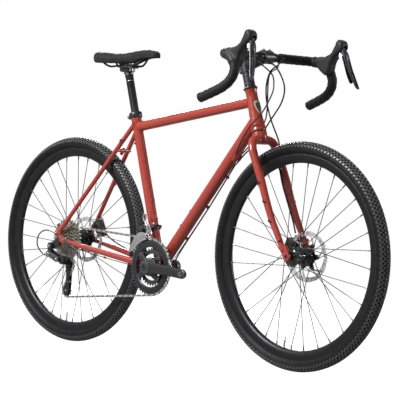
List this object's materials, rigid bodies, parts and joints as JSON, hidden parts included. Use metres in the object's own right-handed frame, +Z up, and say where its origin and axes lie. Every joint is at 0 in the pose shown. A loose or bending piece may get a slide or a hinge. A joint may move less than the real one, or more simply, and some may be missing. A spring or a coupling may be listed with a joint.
{
  "type": "road bicycle",
  "caption": "Steel all-road bicycle with flared drop bars, disc brakes, wide tyres, a double crankset and a wide-range cassette, ready to take pedals.",
  "frame": {"origin": "on the ground, midway between the wheel axles, in the bicycle's middle plane", "axes": "+X forwards, +Y to the rider's left (the drive side is -Y), +Z up"},
  "size_m": [1.759, 0.5298, 1.039],
  "materials": {
    "frame_paint": "gloss coral-red enamel over steel",
    "black_anodised": "satin black anodised",
    "dark_lever": "glossy dark grey anodised",
    "silver_steel": "brushed and nickel-plated",
    "chain_steel": "oiled grey steel",
    "housing_plastic": "satin black",
    "tyre_rubber": "matte black rubber, fine tread",
    "hood_rubber": "soft matte dark grey",
    "bar_tape": "matte black foam-backed wrap",
    "saddle_cover": "matte black synthetic cover"
  },
  "bodies": {
    "frame": {"frame": "frame_paint", "seat_clamp": "black_anodised", "derailleur_hanger": "black_anodised", "bottom_bracket": "black_anodised", "headset_upper_cup": "black_anodised", "headset_lower_cup": "black_anodised", "front_derailleur_clamp": "black_anodised", "chain": "chain_steel", "rear_derailleur_link": "silver_steel", "rear_derailleur_knuckle": "black_anodised", "rear_derailleur_cage": "black_anodised", "rear_brake_caliper": "black_anodised", "rear_thru_axle": "black_anodised", "rear_shift_housing": "housing_plastic", "front_shift_housing": "housing_plastic", "rear_brake_housing": "housing_plastic", "rear_derailleur_loop": "housing_plastic"},
    "steering": {"fork": "frame_paint", "headset_spacers": "black_anodised", "stem": "black_anodised", "stem_faceplate": "black_anodised", "headset_top_cap": "black_anodised", "handlebar": "black_anodised", "bar_tape_right": "bar_tape", "bar_tape_left": "bar_tape", "right_lever_body": "housing_plastic", "left_lever_body": "housing_plastic", "right_hood": "hood_rubber", "left_hood": "hood_rubber", "front_brake_caliper": "black_anodised", "front_thru_axle": "black_anodised", "front_brake_housing": "housing_plastic"},
    "front_derailleur_cage": {"front_derailleur_cage": "silver_steel"},
    "guide_pulley": {"guide_pulley": "housing_plastic"},
    "tension_pulley": {"tension_pulley": "housing_plastic"},
    "rear_brake_arm": {"rear_brake_arm": "black_anodised"},
    "front_brake_arm": {"front_brake_arm": "black_anodised"},
    "right_brake_lever": {"right_brake_lever": "dark_lever"},
    "left_brake_lever": {"left_brake_lever": "dark_lever"},
    "right_shift_paddle": {"right_shift_paddle": "dark_lever"},
    "left_shift_paddle": {"left_shift_paddle": "dark_lever"},
    "front_wheel": {"front_tyre": "tyre_rubber", "front_rim": "black_anodised", "front_spokes": "chain_steel", "front_hub": "black_anodised", "front_rotor": "silver_steel"},
    "rear_wheel": {"rear_tyre": "tyre_rubber", "rear_rim": "black_anodised", "rear_spokes": "chain_steel", "rear_hub": "black_anodised", "rear_rotor": "silver_steel"},
    "cassette": {"cassette": "silver_steel"},
    "crank": {"right_crank": "black_anodised", "left_crank": "black_anodised", "outer_chainring": "black_anodised", "inner_chainring": "silver_steel"},
    "seatpost": {"seatpost": "black_anodised"},
    "saddle": {"saddle_rails": "chain_steel", "saddle_shell": "housing_plastic", "saddle_pad": "saddle_cover"}
  },
  "joints": [
    {"name": "steering", "type": "hinge", "parent": "frame", "child": "steering", "pos_m": [0.33588, 0, 0.73882], "axis": [-0.304, 0, 0.9527], "range_deg": [-60, 60], "deforming": ["rear_shift_housing", "front_shift_housing", "rear_brake_housing"]},
    {"name": "front_wheel_spin", "type": "hinge", "parent": "steering", "child": "front_wheel", "pos_m": [0.5245, 0, 0.355], "axis": [0, 1, 0], "continuous": true},
    {"name": "rear_wheel_spin", "type": "hinge", "parent": "frame", "child": "rear_wheel", "pos_m": [-0.5245, 0, 0.355], "axis": [0, 1, 0], "continuous": true},
    {"name": "crank_spin", "type": "hinge", "parent": "frame", "child": "crank", "pos_m": [-0.08909, 0, 0.285], "axis": [0, 1, 0], "continuous": true},
    {"name": "cassette_spin", "type": "hinge", "parent": "frame", "child": "cassette", "pos_m": [-0.5245, 0, 0.355], "axis": [0, 1, 0], "continuous": true},
    {"name": "guide_pulley_spin", "type": "hinge", "parent": "frame", "child": "guide_pulley", "pos_m": [-0.495, -0.046, 0.268], "axis": [0, 1, 0], "continuous": true},
    {"name": "tension_pulley_spin", "type": "hinge", "parent": "frame", "child": "tension_pulley", "pos_m": [-0.503, -0.046, 0.179], "axis": [0, 1, 0], "continuous": true},
    {"name": "right_brake_lever", "type": "hinge", "parent": "steering", "child": "right_brake_lever", "pos_m": [0.489, -0.21, 1.008], "axis": [0, 1, 0], "range_deg": [0, 26], "stiffness_Nm_per_rad": 1},
    {"name": "left_brake_lever", "type": "hinge", "parent": "steering", "child": "left_brake_lever", "pos_m": [0.489, 0.21, 1.008], "axis": [0, 1, 0], "range_deg": [0, 26], "stiffness_Nm_per_rad": 1},
    {"name": "right_shift_paddle", "type": "hinge", "parent": "right_brake_lever", "child": "right_shift_paddle", "pos_m": [0.491, -0.21, 0.988], "axis": [1, 0, 0], "range_deg": [0, 18], "stiffness_Nm_per_rad": 0.4},
    {"name": "left_shift_paddle", "type": "hinge", "parent": "left_brake_lever", "child": "left_shift_paddle", "pos_m": [0.491, 0.21, 0.988], "axis": [-1, 0, 0], "range_deg": [0, 18], "stiffness_Nm_per_rad": 0.4},
    {"name": "front_brake_arm", "type": "hinge", "parent": "steering", "child": "front_brake_arm", "pos_m": [0.454, 0.04, 0.386], "axis": [0, 1, 0], "range_deg": [0, 26]},
    {"name": "rear_brake_arm", "type": "hinge", "parent": "frame", "child": "rear_brake_arm", "pos_m": [-0.462, 0.0557, 0.401], "axis": [0, 1, 0], "range_deg": [0, 26]},
    {"name": "front_derailleur_trim", "type": "hinge", "parent": "frame", "child": "front_derailleur_cage", "pos_m": [-0.113, -0.027, 0.421], "axis": [1, 0, 0], "range_deg": [-1.5, 1.5]},
    {"name": "seatpost_height", "type": "slide", "parent": "frame", "child": "seatpost", "axis": [-0.279, 0, 0.9603], "range_m": [-0.08, 0.06]},
    {"name": "saddle_setback", "type": "slide", "parent": "seatpost", "child": "saddle", "axis": [1, 0, 0], "range_m": [-0.015, 0.015]}
  ],
  "couplings": [
    {"joint": "cassette_spin", "follows": "crank_spin", "ratio": 1.9167},
    {"joint": "guide_pulley_spin", "follows": "crank_spin", "ratio": -4.1818},
    {"joint": "tension_pulley_spin", "follows": "crank_spin", "ratio": 4.1818},
    {"joint": "front_brake_arm", "follows": "left_brake_lever", "ratio": 1},
    {"joint": "rear_brake_arm", "follows": "right_brake_lever", "ratio": 1}
  ]
}
